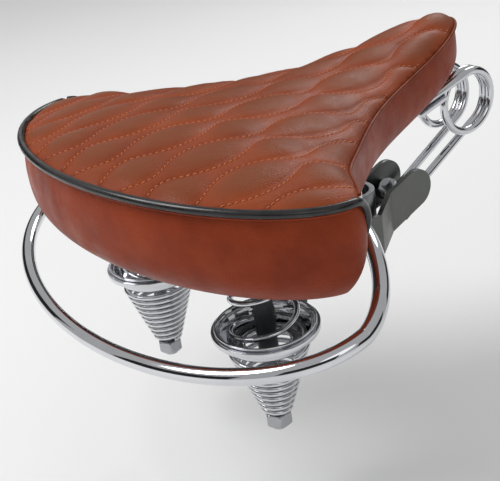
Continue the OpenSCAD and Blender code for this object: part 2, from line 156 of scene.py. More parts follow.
def edge_share(x, y):
    """How far plan points are from the spine to the edge, 0 to 1, and that whole distance."""
    x = np.abs(x)
    centre = np.clip(y, *SPINE)
    reach = np.interp(y, EDGE_LINE[:, 1], EDGE_LINE[:, 0])
    for end, sign in ((SPINE[0], -1), (SPINE[1], 1)):
        beyond = EDGE_LINE[sign * (EDGE_LINE[:, 1] - end) >= 0]
        angle = np.arctan2(beyond[:, 0], sign * (beyond[:, 1] - end))
        order = np.argsort(angle)
        radius = np.hypot(beyond[:, 0], beyond[:, 1] - end)
        past = sign * (y - end) > 0
        found = np.interp(np.arctan2(x, sign * (y - end)), angle[order], radius[order])
        reach = np.where(past, found, reach)
    return np.hypot(x, y - centre) / np.maximum(reach, 1e-6), reach


# ---------------------------------------------------------------- quilt

LINE_GAP = 16.5 * mm            # between neighbouring stitch lines
LINE_START = 12.75 * mm         # x of stitch line 0
WAVE_LENGTH = 58 * mm
WAVE_PLACE = -38.5 * mm         # y where a line swings furthest
WAVE_SWING = 4.6 * mm
STRIPS = range(-9, 9)
PILLOW_RISE = 0.1               # height of a pillow as a share of its width
FULL_PILLOW = PILLOW_RISE * 25 * mm
THREAD_RADIUS = 0.36 * mm


def quilt_line(k, y):
    """x of stitch line k at y. Neighbouring lines swing opposite ways, so they enclose pointed cells."""
    phase = TURN * (y - WAVE_PLACE) / WAVE_LENGTH
    return LINE_START + LINE_GAP * k + (-1) ** k * WAVE_SWING * np.cos(phase + 0.3 * np.sin(phase))


def crown_at(y):
    """Rise of the crown at y, lower on the narrow nose than on the wide rear."""
    half_width = np.interp(y, EDGE_LINE[:, 1], np.maximum.accumulate(EDGE_LINE[::-1, 0])[::-1])
    return CROWN * (0.55 + 0.45 * np.clip(half_width / (80 * mm), 0, 1))


def base_height(x, y):
    """Height of the cover at a stitch line, without the pillows."""
    share, _ = edge_share(x, y)
    return edge_at(y) + crown_at(y) * np.clip(1 - share ** 2, 0, 1) ** 0.8


def pillow(across, gap, edge_distance):
    """Height of the padding between two stitch lines, from 0 at each line to a crown between them."""
    dome = np.clip(1 - (2 * across - 1) ** 2, 0, 1) ** 0.7
    return PILLOW_RISE * gap * dome * np.clip(edge_distance / (8 * mm), 0, 1) ** 0.6


# ---------------------------------------------------------------- mesh helpers

def add_mesh(name, vertices, faces, material):
    """Smooth-shaded mesh object in the scene, with one material."""
    mesh = bpy.data.meshes.new(name)
    mesh.from_pydata([tuple(map(float, v)) for v in vertices], [], [tuple(map(int, f)) for f in faces])
    mesh.validate()
    mesh.polygons.foreach_set("use_smooth", [True] * len(mesh.polygons))
    mesh.materials.append(material)
    piece = bpy.data.objects.new(name, mesh)
    bpy.context.scene.collection.objects.link(piece)
    return piece


def loft_faces(count, size):
    """Faces between closed rings of equal size, and a row of quads across each end."""
    faces = []
    for i in range(count - 1):
        for j in range(size):
            k = (j + 1) % size
            faces.append((i * size + j, i * size + k, (i + 1) * size + k, (i + 1) * size + j))
    last = (count - 1) * size
    for j in range(size // 2 - 1):
        quad = (j, j + 1, size - 2 - j, size - 1 - j)
        faces.append(quad[::-1])
        faces.append(tuple(last + v for v in quad))
    return faces


def loft(name, rings, material):
    """Closed piece through rings of equal size."""
    rings = np.asarray(rings, float)
    faces = loft_faces(len(rings), rings.shape[1])
    piece = add_mesh(name, rings.reshape(-1, 3), faces, material)
    outward_normals(piece)
    return piece


def outward_normals(piece):
    """Turns the faces of a closed piece outwards."""
    work = bmesh.new()
    work.from_mesh(piece.data)
    bmesh.ops.recalc_face_normals(work, faces=work.faces)
    work.to_mesh(piece.data)
    work.free()


def along(path):
    """Unit directions along a path."""
    tangent = np.gradient(path, axis=0)
    return tangent / np.linalg.norm(tangent, axis=1, keepdims=True)


def tube_rings(path, radius, sides):
    """Rings of a round wire, carried along the path without twisting, with rounded ends."""
    end_shape = ((0.3, 0.5), (0.2, 0.85))     # how far past the end and how wide, as shares of the radius
    path = np.asarray(path, float)
    tangent = along(path)
    side = np.cross(tangent[0], (0.3, 0.5, 0.81))
    side /= np.linalg.norm(side)
    angles = np.linspace(0, TURN, sides, endpoint=False)
    rings = []
    for i, point in enumerate(path):
        side = side - tangent[i] * (side @ tangent[i])
        side /= np.linalg.norm(side)
        other = np.cross(tangent[i], side)
        spoke = np.cos(angles)[:, None] * side + np.sin(angles)[:, None] * other
        if i == 0:
            rings += [point - tangent[0] * radius * d + spoke * radius * r for d, r in end_shape]
        rings.append(point + spoke * radius)
        if i == len(path) - 1:
            rings += [point + tangent[-1] * radius * d + spoke * radius * r for d, r in end_shape[::-1]]
    return rings


def tube(name, path, radius, material, sides):
    return loft(name, tube_rings(path, radius, sides), material)


def rounded(points, passes=3):
    """Cuts the corners of an open line, so that it turns smoothly."""
    points = np.asarray(points, float)
    for _ in range(passes):
        near = 0.75 * points[:-1] + 0.25 * points[1:]
        far = 0.25 * points[:-1] + 0.75 * points[1:]
        middle = np.stack([near, far], 1).reshape(-1, points.shape[1])
        points = np.concatenate([points[:1], middle, points[-1:]])
    return points


def lathe(name, profile, centre, material, sides=128):
    """Closed outline of (radius, height) points turned about a vertical axis through centre."""
    profile = rounded(list(profile) + [profile[0]], 1)[:-1]
    angles = np.linspace(0, TURN, sides, endpoint=False)
    rings = [[(centre[0] + r * math.cos(a), centre[1] + r * math.sin(a), centre[2] + z) for r, z in profile]
             for a in angles]
    size = len(profile)
    faces = [(i * size + j, i * size + (j + 1) % size,
              (i + 1) % sides * size + (j + 1) % size, (i + 1) % sides * size + j)
             for i in range(sides) for j in range(size)]
    piece = add_mesh(name, np.reshape(rings, (-1, 3)), faces, material)
    outward_normals(piece)
    return piece


def stitches(name, centres, directions, normals, length, radius, material):
    """Short round-ended threads, each bent down into the leather at both ends."""
    rings = np.linspace(-1, 1, 7)
    sides = np.linspace(0, TURN, 6, endpoint=False)
    width = radius * np.sqrt(np.clip(1 - np.abs(rings) ** 3, 0.12, 1))
    lift = radius * (0.55 - 1.3 * rings ** 2)
    across = np.cross(normals, directions)
    vertices = []
    for r, w, h in zip(rings, width, lift):
        for s in sides:
            vertices.append(centres + directions * (r * length / 2) + across * (w * math.cos(s))
                            + normals * (h + w * math.sin(s)))
    vertices = np.stack(vertices, 1)
    one = loft_faces(len(rings), len(sides))
    size = vertices.shape[1]
    faces = [tuple(v + i * size for v in f) for i in range(len(vertices)) for f in one]
    piece = add_mesh(name, vertices.reshape(-1, 3), faces, material)
    outward_normals(piece)
    return piece


def spaced(path, pitch):
    """Points a pitch apart along a line, and the line's direction there."""
    path = np.asarray(path, float)
    steps = np.linalg.norm(np.diff(path, axis=0), axis=1)
    run = np.concatenate([[0], np.cumsum(steps)])
    places = np.arange(pitch / 2, run[-1] - pitch / 2, pitch)
    points = np.stack([np.interp(places, run, path[:, i]) for i in range(3)], 1)
    ahead = np.stack([np.interp(places + pitch / 4, run, path[:, i]) for i in range(3)], 1)
    behind = np.stack([np.interp(places - pitch / 4, run, path[:, i]) for i in range(3)], 1)
    direction = ahead - behind
    return points, direction / np.linalg.norm(direction, axis=1, keepdims=True)


# ---------------------------------------------------------------- materials

def new_material(name, colour, roughness, metallic=0.0, **sockets):
    """Principled material. sockets gives further inputs, with underscores for the spaces in their names."""
    material = bpy.data.materials.new(name)
    material.use_nodes = True
    shader = material.node_tree.nodes["Principled BSDF"]
    shader.inputs["Base Color"].default_value = (*colour, 1)
    shader.inputs["Roughness"].default_value = roughness
    shader.inputs["Metallic"].default_value = metallic
    for socket, value in sockets.items():
        shader.inputs[socket.replace("_", " ")].default_value = value
    return material


def texture(material, kind, scale, **settings):
    """A texture over the piece's own coordinates, which are metres in the frame."""
    tree = material.node_tree
    place = tree.nodes.get("Place") or tree.nodes.new("ShaderNodeTexCoord")
    place.name = "Place"
    node = tree.nodes.new(kind)
    node.inputs["Scale"].default_value = scale
    for socket, value in settings.items():
        node.inputs[socket].default_value = value
    tree.links.new(place.outputs["Object"], node.inputs["Vector"])
    return node.outputs[0]


def ramp(material, value, stops):
    """Colour ramp over a value, with stops of (position, colour)."""
    node = material.node_tree.nodes.new("ShaderNodeValToRGB")
    while len(node.color_ramp.elements) < len(stops):
        node.color_ramp.elements.new(0.5)
    for element, (position, colour) in zip(node.color_ramp.elements, stops):
        element.position = position
        element.color = (*colour, 1)
    material.node_tree.links.new(value, node.inputs[0])
    return node.outputs[0]


def mix(material, share, a, b, kind="MIX"):
    """Blend of two colours. Each argument is an output of another node or a constant."""
    tree = material.node_tree
    node = tree.nodes.new("ShaderNodeMix")
    node.data_type = "RGBA"
    node.blend_type = kind
    for value, socket in ((share, node.inputs[0]), (a, node.inputs[6]), (b, node.inputs[7])):
        if isinstance(value, bpy.types.NodeSocket):
            tree.links.new(value, socket)
        else:
            socket.default_value = value
    return node.outputs[2]


def set_socket(material, socket, value):
    """Links a node's output to an input of the material's shader."""
    material.node_tree.links.new(value, material.node_tree.nodes["Principled BSDF"].inputs[socket])


def vary_roughness(material, low, high, scale):
    value = texture(material, "ShaderNodeTexNoise", scale, Detail=6.0)
    set_socket(material, "Roughness", ramp(material, value, [(0.35, (low,) * 3), (0.7, (high,) * 3)]))


def add_bumps(material, *layers):
    """Bumps of (texture output, depth in metres), one on another."""
    tree = material.node_tree
    below = None
    for value, depth in layers:
        node = tree.nodes.new("ShaderNodeBump")
        node.inputs["Distance"].default_value = depth
        node.inputs["Strength"].default_value = 0.8
        tree.links.new(value, node.inputs["Height"])
        if below is not None:
            tree.links.new(below, node.inputs["Normal"])
        below = node.outputs[0]
    set_socket(material, "Normal", below)


def leather(name, light, middle, dark, crown_wear_and_sheen=None):
    """Satin leather: cloudy colour, grain with pores, a rubbed colour with painted sheen on the pillows'
    crowns, and painted shade in the creases.
    """
    material = new_material(name, middle, 0.45, Specular_IOR_Level=0.16, Coat_Weight=0.02,
                            Coat_Roughness=0.2)
    clouds = texture(material, "ShaderNodeTexNoise", 28.0, Detail=5.0, Roughness=0.6)
    colour = ramp(material, clouds, [(0.3, dark), (0.5, middle), (0.72, light)])
    if crown_wear_and_sheen:
        tree = material.node_tree
        height = tree.nodes.new("ShaderNodeAttribute")
        height.attribute_name = "pillow"
        # Toward the pillows' crowns the colour blends to a duller brown: partly rubbed wear, partly painted
        # sheen.
        wear_and_sheen_stops = [(0.0, (0, 0, 0)), (0.35, (0.3,) * 3), (0.9, (0.95,) * 3)]
        wear_and_sheen_share = ramp(material, height.outputs["Fac"], wear_and_sheen_stops)
        colour = mix(material, wear_and_sheen_share, colour, (*crown_wear_and_sheen, 1))
        # Painted shade: the colour is darkened toward the creases at the stitch lines.
        painted_crease_shade = ramp(material, height.outputs["Fac"], [(0.0, (0.62,) * 3), (0.2, (1.0,) * 3)])
        colour = mix(material, 1.0, colour, painted_crease_shade, "MULTIPLY")
    pores = texture(material, "ShaderNodeTexVoronoi", 1300.0)
    speckle = ramp(material, pores, [(0.0, (0.78,) * 3), (0.3, (1.0,) * 3)])
    set_socket(material, "Base Color", mix(material, 0.6, colour, speckle, "MULTIPLY"))
    vary_roughness(material, 0.36, 0.55, 90.0)
    wrinkle = texture(material, "ShaderNodeTexNoise", 260.0, Detail=6.0, Roughness=0.65)
    add_bumps(material, (wrinkle, 0.25 * mm), (pores, 0.16 * mm))
    return material


def plated(name, colour, low, high):
    """Polished plating with a faint haze and hairline scratches."""
    material = new_material(name, colour, low, 1.0)
    vary_roughness(material, low, high, 60.0)
    tone = texture(material, "ShaderNodeTexNoise", 35.0, Detail=3.0)
    darker = tuple(0.86 * c for c in colour)
    set_socket(material, "Base Color", ramp(material, tone, [(0.3, darker), (0.7, colour)]))
    ripple = texture(material, "ShaderNodeTexNoise", 45.0, Detail=2.0)
    hairs = texture(material, "ShaderNodeTexNoise", 900.0, Detail=4.0, Distortion=3.0)
    add_bumps(material, (ripple, 0.08 * mm), (hairs, 0.004 * mm))
    return material


def moulded(name, colour, roughness, grain, depth):
    """Plastic, rubber or paint with a fine moulded grain and dust in it."""
    material = new_material(name, colour, roughness)
    dust = texture(material, "ShaderNodeTexNoise", 120.0, Detail=8.0)
    lighter = tuple(c * 1.5 + 0.012 for c in colour)
    set_socket(material, "Base Color", ramp(material, dust, [(0.4, colour), (0.75, lighter)]))
    vary_roughness(material, roughness, min(1.0, roughness + 0.2), 80.0)
    add_bumps(material, (texture(material, "ShaderNodeTexNoise", grain, Detail=3.0), depth))
    return material


def foam_material():
    """Open cell foam."""
    material = new_material("foam", (0.75, 0.68, 0.48), 0.95)
    cells = texture(material, "ShaderNodeTexVoronoi", 1500.0)
    tone = [(0.0, (0.42, 0.36, 0.22)), (0.5, (0.78, 0.71, 0.5))]
    set_socket(material, "Base Color", ramp(material, cells, tone))
    add_bumps(material, (cells, 0.4 * mm))
    return material


def thread_material():
    """Twisted orange thread."""
    material = new_material("thread", (0.62, 0.2, 0.05), 0.6, Sheen_Weight=0.3, Sheen_Roughness=0.4)
    strands = texture(material, "ShaderNodeTexNoise", 1600.0, Detail=3.0)
    tone = [(0.3, (0.4, 0.085, 0.016)), (0.65, (0.74, 0.21, 0.045))]
    set_socket(material, "Base Color", ramp(material, strands, tone))
    add_bumps(material, (strands, 0.2 * mm))
    return material


# The top leather's last colour is rubbed wear and painted sheen, for the pillows' crowns.
LEATHER_TOP = leather("cover_leather", (0.37, 0.07, 0.018), (0.3, 0.052, 0.013), (0.215, 0.034, 0.008),
                      crown_wear_and_sheen=(0.22, 0.058, 0.02))
LEATHER_SIDE = leather("skirt_leather", (0.31, 0.048, 0.011), (0.25, 0.035, 0.008), (0.18, 0.023, 0.006))
THREAD = thread_material()
PIPING = moulded("piping_vinyl", (0.012, 0.012, 0.013), 0.16, 700.0, 0.02 * mm)
FOAM = foam_material()
PAN = moulded("pan_plastic", (0.018, 0.018, 0.019), 0.5, 900.0, 0.12 * mm)
CHROME = plated("chrome", (0.74, 0.75, 0.78), 0.03, 0.1)
SPRING_CHROME = plated("spring_chrome", (0.7, 0.71, 0.74), 0.05, 0.14)
PLATE_STEEL = plated("plate_chrome", (0.15, 0.155, 0.148), 0.26, 0.4)
ZINC = plated("zinc", (0.45, 0.46, 0.48), 0.18, 0.34)
ALLOY = plated("cast_alloy", (0.34, 0.35, 0.36), 0.32, 0.5)
BLACK_STEEL = moulded("black_steel", (0.02, 0.021, 0.023), 0.3, 1100.0, 0.03 * mm)
RUBBER = moulded("sleeve_rubber", (0.03, 0.032, 0.036), 0.42, 800.0, 0.05 * mm)


# ---------------------------------------------------------------- seat cover

def cover_rows():
    """Plan grid of the cover: rows across the saddle, and columns that follow the strips of the quilt."""
    parts = 10
    angles = np.linspace(0.7, 179.3, 300)
    y = MID_Y - SEAT_LENGTH / 2 * np.cos(np.radians(angles))
    limit = outline(angles)[:, 0]
    columns = [(k, p / parts) for k in STRIPS for p in range(parts)]
    x = np.stack([quilt_line(k, y) * (1 - s) + quilt_line(k + 1, y) * s for k, s in columns], 1)
    gap = np.stack([quilt_line(k + 1, y) - quilt_line(k, y) for k, _ in columns], 1)
    across = np.tile([s for _, s in columns], (len(y), 1))
    x = np.clip(x, -limit[:, None], limit[:, None])
    return x, np.repeat(y[:, None], x.shape[1], 1), gap, across


def quilted_cover():
    """The top: padded cells between the stitch lines, on a crowned base that falls to the edge."""
    x, y, gap, across = cover_rows()
    share, reach = edge_share(x, y)
    inside = share < 0.9995
    height = pillow(across, gap, (1 - share) * reach)
    rows, columns = x.shape
    points = np.stack([x, y, base_height(x, y) + height], -1).reshape(-1, 3)
    faces = []
    for i in range(rows - 1):
        for j in range(columns - 1):
            if inside[i:i + 2, j:j + 2].any():
                a = i * columns + j
                faces.append((a, a + 1, a + columns + 1, a + columns))
    cover = add_mesh("quilted_cover", points, faces, LEATHER_TOP)
    puffiness = cover.data.attributes.new("pillow", "FLOAT", "POINT")
    puffiness.data.foreach_set("value", (height / FULL_PILLOW).astype(np.float32).ravel())
    work = bmesh.new()
    work.from_mesh(cover.data)
    bmesh.ops.delete(work, geom=[v for v in work.verts if not v.link_faces], context="VERTS")
    bmesh.ops.remove_doubles(work, verts=work.verts, dist=0.15 * mm)
    bmesh.ops.dissolve_degenerate(work, edges=work.edges, dist=0.02 * mm)
    work.to_mesh(cover.data)
    work.free()
    cover.modifiers.new("thickness", "SOLIDIFY").thickness = 1.4 * mm
    return cover


def base_normal(x, y):
    """Unit normals of the cover at its stitch lines."""
    step = 0.5 * mm
    slope_x = (base_height(x + step, y) - base_height(x - step, y)) / (2 * step)
    slope_y = (base_height(x, y + step) - base_height(x, y - step)) / (2 * step)
    normal = np.stack([-slope_x, -slope_y, np.ones_like(slope_x)], -1)
    return normal / np.linalg.norm(normal, axis=-1, keepdims=True)


def quilt_stitching():
    """Stitches along the quilt lines, over each run of a line that is clear of the saddle's edge."""
    pitch = 3 * mm
    edge_gap = 2.5 * mm
    shortest_run = 12
    found = []
    for k in STRIPS:
        y = np.linspace(MID_Y - SEAT_LENGTH / 2 + 2 * mm, MID_Y + SEAT_LENGTH / 2 - 2 * mm, 900)
        x = quilt_line(k, y)
        share, reach = edge_share(x, y)
        inside = (1 - share) * reach > edge_gap
        for run in np.split(np.arange(len(y)), np.flatnonzero(np.diff(inside.astype(int))) + 1):
            if len(run) > shortest_run and inside[run[0]]:
                path = np.stack([x[run], y[run], base_height(x[run], y[run])], 1)
                found.append(spaced(path, pitch))
    centres = np.concatenate([f[0] for f in found])
    directions = np.concatenate([f[1] for f in found])
    normals = base_normal(centres[:, 0], centres[:, 1])
    return stitches("quilt_stitching", centres + normals * 0.15 * mm, directions, normals, 2.1 * mm,
                    THREAD_RADIUS, THREAD)


def nose_angles(count):
    """Outline angles round the nose, from the right hip to the left one."""
    return np.linspace(HIP + 1, 360 - HIP - 1, count)


def side_seam():
    """Raised seam between the top and the side panels."""
    path = edge_point(nose_angles(240), 0.3 * mm, -0.1 * mm)
    return tube("side_seam", path, 0.9 * mm, LEATHER_TOP, 12)


def seam_stitching():
    """Small stitches beside the raised seam, on the top."""
    path = edge_point(nose_angles(400), -2.4 * mm)
    path[:, 2] = base_height(path[:, 0], path[:, 1])
    centres, directions = spaced(path, 3.2 * mm)
    normals = base_normal(centres[:, 0], centres[:, 1])
    return stitches("seam_stitching", centres, directions, normals, 1.9 * mm, THREAD_RADIUS, THREAD)


def skirt_out(h):
    """Bulge of the rear skirt at the share h of its height, which turns under at the bottom."""
    widest, belly = 2.6, 0.42
    above = widest - 3.2 * ((belly - h) / belly) ** 2
    below = widest - 8.6 * ((h - belly) / (1 - belly)) ** 3
    return np.where(h < belly, above, below) * mm


def side_out(h):
    """Bulge of a side panel at the share h of its height."""
    widest, belly = 0.5, 0.5
    above = widest - 1.2 * ((belly - h) / belly) ** 2
    below = widest - 4.5 * np.clip((h - belly) / (1 - belly), 0, 1) ** 2.5
    return np.where(h < belly, above, below) * mm


def hanging_band(name, angles, height, out):
    """Leather that hangs from the edge: out gives its bulge at each share of the height there."""
    top_gap = 0.5 * mm
    h = np.linspace(0, 1, 22)
    rings = []
    for a, tall in zip(angles, height):
        outer = edge_point(np.full(h.shape, a), out(h), top_gap + h * tall)
        roll = edge_point(np.full(2, a), out(np.ones(2)) - np.array([0.5, 1.2]) * mm,
                          tall + np.array([0.9, 1.0]) * mm)
        inner = edge_point(np.full(h.shape, a), out(h) - COVER_THICKNESS, top_gap + h * tall)[::-1]
        rings.append(np.concatenate([outer, roll, inner]))
    return loft(name, rings, LEATHER_SIDE)


def corner_height(angles, full, radius, reach):
    """Height of the skirt along its length, with rounded lower corners at its two ends."""
    left = np.clip((HIP - np.abs(angles)) / reach, 0, 1)
    return full - radius * (1 - np.sqrt(1 - (1 - left) ** 2))


def rear_skirt():
    """Smooth band round the rear, with more rows at its rounded corners."""
    corner = np.linspace(HIP - 5, HIP, 16)
    angles = np.concatenate([-corner[::-1], np.linspace(-HIP + 6, HIP - 6, 150), corner])
    return hanging_band("skirt", angles, corner_height(angles, SKIRT_HEIGHT, 11 * mm, 4.0), skirt_out)


def side_panel(name, sign):
    """Smooth panel from a hip to the nose tip; sign 1 is the right side."""
    angles = sign * np.linspace(HIP - 1, 179.9, 90)
    return hanging_band(name, angles, np.full(angles.shape, SIDE_HEIGHT), side_out)


def piping():
    """Cord round the rear edge. Past each hip it turns down the skirt's front and tucks in behind it."""
    # Each point of the turn: degrees past the hip, then mm down from the edge and mm out.
    hook = [(-4.0, 0, 0), (-2.2, 0.4, 0), (-0.8, 2.0, 0), (0.3, 5, 0.2), (0.8, 9, 0), (0.9, 13, -0.8),
            (0.5, 17, -2.2), (-0.4, 20.5, -4.5)]
    lift = 0.6 * mm
    rest = 1.5 * mm
    angles = [HIP + a for a, _, _ in hook]
    drops = np.array([d for _, d, _ in hook]) * mm
    outs = np.array([o for _, _, o in hook]) * mm
    bulge = np.clip(skirt_out(drops / SKIRT_HEIGHT) + 0.9 * mm, rest, None)
    right = edge_point(angles, bulge + outs, drops - lift)
    across = edge_point(np.linspace(HIP - 5.5, -HIP + 5.5, 180), rest, -lift)
    left = right[::-1] * (-1, 1, 1)
    path = rounded(np.concatenate([right[::-1], across, left]), 2)
    return tube("piping", path, PIPING_RADIUS, PIPING, 20)


def seam_below_piping():
    """The stitched-down edge of leather that holds the cord, seen just under it."""
    path = edge_point(np.linspace(HIP - 4, -HIP + 4, 200), 1.2 * mm, 1.9 * mm)
    return tube("piping_flange", path, 0.7 * mm, LEATHER_SIDE, 10)


def inset_ring(share, inset, drop):
    """Closed ring inside the outline, drawn in toward the spine. The inset shrinks at the nose tip."""
    a = np.linspace(0, 360, 160, endpoint=False)
    at_nose = np.clip((np.abs(outline(a)[:, 0]) + 24 * mm) / (30 * mm), 0, 1)
    narrow = np.where(np.cos(np.radians(a)) > 0, 1, at_nose)
    p = outline(a) - (inset * narrow)[:, None] * outward(a)
    spine = np.stack([np.zeros(len(a)), np.clip(p[:, 1], *SPINE)], 1)
    p = spine + share * (p - spine)
    return np.concatenate([p, (edge_at(p[:, 1]) - drop)[:, None]], 1)


def foam_core():
    """Foam inside the cover, which shows from below between the pan and the skirt."""
    bottom = PAN_DROP - 0.8 * mm
    crown_shares = (0.05, 0.3, 0.6, 0.85)
    sides = [(6.5, 2.0), (6.2, 8.0), (6.6, 16.0), (7.6, 21.0), (9.0, bottom / mm)]     # mm in and mm down
    rings = [inset_ring(share, 8 * mm, 4 * mm) for share in crown_shares]
    for ring, share in zip(rings, crown_shares):
        ring[:, 2] += crown_at(ring[:, 1]) * (1 - share * share) ** 0.8
    rings += [inset_ring(1.0, inset * mm, drop * mm) for inset, drop in sides]
    rings += [inset_ring(share, 9 * mm, bottom) for share in (0.6, 0.3, 0.05)]
    return loft("foam_core", rings, FOAM)


def pan():
    """Moulded pan under the foam, with a rolled rim."""
    under = PAN_DROP + PAN_THICKNESS
    shares = (0.05, 0.3, 0.6, 0.9)
    rim = [(10, 24.0), (9.2, 24.6), (9.0, 26.0), (9.4, 28.0), (10.4, 28.6), (11.4, 28.0),
           (11.8, under / mm)]     # mm in and mm down
    rings = [inset_ring(share, 10 * mm, PAN_DROP) for share in shares]
    rings += [inset_ring(1.0, inset * mm, drop * mm) for inset, drop in rim]
    rings += [inset_ring(share, 10 * mm, under) for share in shares[::-1]]
    return loft("pan", rings, PAN)


def pan_ribs():
    """Stiffening ribs moulded along the underside of the pan, fading out at their ends."""
    rear = -150 * mm
    root_half, tip_half = 1.4 * mm, 0.8 * mm
    vertices = []
    faces = []
    for x, length in ((-80, 70), (-28, 100), (28, 100), (80, 70)):
        x = x * mm
        y = np.linspace(rear, rear + length * mm, 24)
        first = len(vertices)
        for i, place in enumerate(y):
            fade = math.sin(math.pi * i / (len(y) - 1)) ** 0.4
            top = float(edge_at(place)) - PAN_DROP - PAN_THICKNESS + 0.4 * mm
            low = top - (0.5 + 2.6 * fade) * mm
            vertices += [(x - root_half, place, top), (x - tip_half, place, low),
                         (x + tip_half, place, low), (x + root_half, place, top)]
        faces += [tuple(v + first for v in f) for f in loft_faces(len(y), 4)]
    piece = add_mesh("pan_ribs", vertices, faces, PAN)
    outward_normals(piece)
    return piece


# ---------------------------------------------------------------- springs, wire and tube

def spring_path(sign, z_start, z_end, r_start, r_end, turns, flat):
    """Conical coil whose end turns lie nearly flat."""
    s = np.linspace(0, 1, int(turns * 64))
    rise = np.clip((s * turns - flat) / (turns - 2 * flat), 0, 1)
    rise = 0.8 * rise + 0.2 * s
    radius = r_start + (r_end - r_start) * s
    angle = TURN * turns * s
    return np.stack([sign * (SPRING_X + radius * np.cos(angle)), SPRING_Y + radius * np.sin(angle),
                     z_start + (z_end - z_start) * rise], 1)


def upper_spring(name, sign):
    """Wide spring from the cup up to the pan."""
    low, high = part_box("upper_spring_right")
    wire = 1.5 * mm
    path = spring_path(sign, low.z + wire, high.z - wire, CUP_RADIUS - 4.6 * mm, 10.5 * mm, 4, 0.45)
    return tube(name, path, wire, SPRING_CHROME, 16)


def lower_spring(name, sign):
    """Close-wound spring that tapers down from the cup to the nut."""
    low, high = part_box("lower_spring_right")
    wire = 1.4 * mm
    path = spring_path(sign, high.z - wire, low.z + wire, CUP_RADIUS - 3.5 * mm, 6.8 * mm, 10.5, 0.2)
    return tube(name, path, wire, SPRING_CHROME, 16)


def coil_point(angle, x):
    """Point of the nose coil's centre line."""
    y = COIL_CENTRE[0] + COIL_RADIUS * np.cos(angle)
    z = COIL_CENTRE[1] + COIL_RADIUS * np.sin(angle)
    return np.stack([x, y, z], -1)


def nose_wire(name, sign):
    """Rail, nose coil and leg, bent from one wire."""
    start = RAIL_SLOPE - TURN / 4
    sweep = TURN / 4 + LEG_SLOPE - start + TURN
    pitch = 2 * RAIL_RADIUS + 0.35 * mm
    turn = np.linspace(0, 1, 150)
    coil = coil_point(start + sweep * turn, RAIL_X + pitch * sweep / TURN * turn)
    back = (coil[0][1] - RAIL_REAR) / math.cos(RAIL_SLOPE)
    rail = [coil[0] - back * s * np.array([0, math.cos(RAIL_SLOPE), math.sin(RAIL_SLOPE)])
            for s in np.linspace(1, 0.02, 20)]
    leg = [coil[-1] - LEG_LENGTH * s * np.array([0, math.cos(LEG_SLOPE), math.sin(LEG_SLOPE)])
           for s in np.linspace(0.02, 1, 16)]
    return tube(name, np.concatenate([rail, coil, leg]) * (sign, 1, 1), RAIL_RADIUS, CHROME, 24)


def crash_rail():
    """Horseshoe tube behind the skirt, whose ends climb to the clips under the pan."""
    end_z = float(edge_at(CLIP_Y)) - PAN_DROP - PAN_THICKNESS - 1 * mm - BUMPER_RADIUS
    angle = np.linspace(math.pi / 2, -math.pi / 2, 160)
    y = (BUMPER_BACK + RISE_START) * (1 - np.cos(angle))
    bow = np.stack([BUMPER_X * np.sin(angle), y - BUMPER_BACK, BUMPER_LEVEL + BUMPER_TILT * y], 1)
    level = bow[0][2]
    poles = np.array([bow[0], (BUMPER_X, RISE_START + 17 * mm, level + 9 * mm),
                      (BUMPER_X - 20 * mm, RISE_START + 34 * mm, end_z + 3 * mm),
                      (CRASH_END[0], CLIP_Y - 2 * mm, end_z)])
    s = np.linspace(0, 1, 60)[1:, None]
    climb = ((1 - s) ** 3 * poles[0] + 3 * s * (1 - s) ** 2 * poles[1] + 3 * s * s * (1 - s) * poles[2]
             + s ** 3 * poles[3])
    right = np.concatenate([climb, [[CRASH_END[0], CRASH_END[1], end_z]]])
    path = np.concatenate([right[::-1], bow, right * (-1, 1, 1)])
    return tube("crash_rail_tube", path, BUMPER_RADIUS, CHROME, 32)


def spring_cup(name, sign):
    """Pressed bowl with a rolled rim and a stepped wall."""
    # Radius and height from the rim, in mm, out along the outside and back along the inside.
    outer = [(11.5, -12), (17.5, -12), (20.4, -11.4), (22.2, -9.4), (23.2, -6.4), (23.9, -4.2),
             (24.6, -3.4), (25.0, -2.2), (25.3, -1.3), (26.0, -1.1), (26.4, -0.5), (26.1, 0.2),
             (25.3, 0.3), (24.7, -0.4)]
    inner = [(24.2, -1.8), (23.6, -3.2), (22.8, -4.4), (22.0, -6.6), (21.0, -8.8), (19.4, -10.2),
             (17.2, -10.6), (11.5, -10.6)]
    profile = [(r * mm, z * mm) for r, z in outer + inner]
    return lathe(name, profile, (sign * SPRING_X, SPRING_Y, CUP_RIM_Z), CHROME)


def chamfered_nut(centre, across, height, levels):
    """Rings of a hexagonal nut on end. Each level is a share of the height and a largest radius there."""
    angles = np.linspace(0, TURN, 96, endpoint=False)
    hexagon = across / 2 / np.cos((angles + TURN / 12) % (TURN / 6) - TURN / 12)
    rings = []
    for share, limit in levels:
        radius = np.minimum(hexagon, limit * across / 2)
        rings.append(np.stack([centre[0] + radius * np.cos(angles), centre[1] + radius * np.sin(angles),
                               np.full(len(angles), centre[2] + share * height)], 1))
    return rings


def spring_nuts():
    """Nuts under the lower springs, with a rounded lower end."""
    low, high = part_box("spring_nuts")
    levels = [(0.0, 0.62), (0.02, 0.82), (0.07, 0.95), (0.16, 1.08), (0.24, 1.2), (0.88, 1.2),
              (0.95, 1.06), (1.0, 0.94)]
    vertices = []
    faces = []
    for sign in (-1, 1):
        rings = chamfered_nut((sign * SPRING_X, SPRING_Y, low.z), 13 * mm, high.z - low.z, levels)
        faces += [tuple(v + len(vertices) for v in f) for f in loft_faces(len(rings), len(rings[0]))]
        vertices += list(np.reshape(rings, (-1, 3)))
    piece = add_mesh("spring_nuts_finished", vertices, faces, ZINC)
    outward_normals(piece)
    return piece


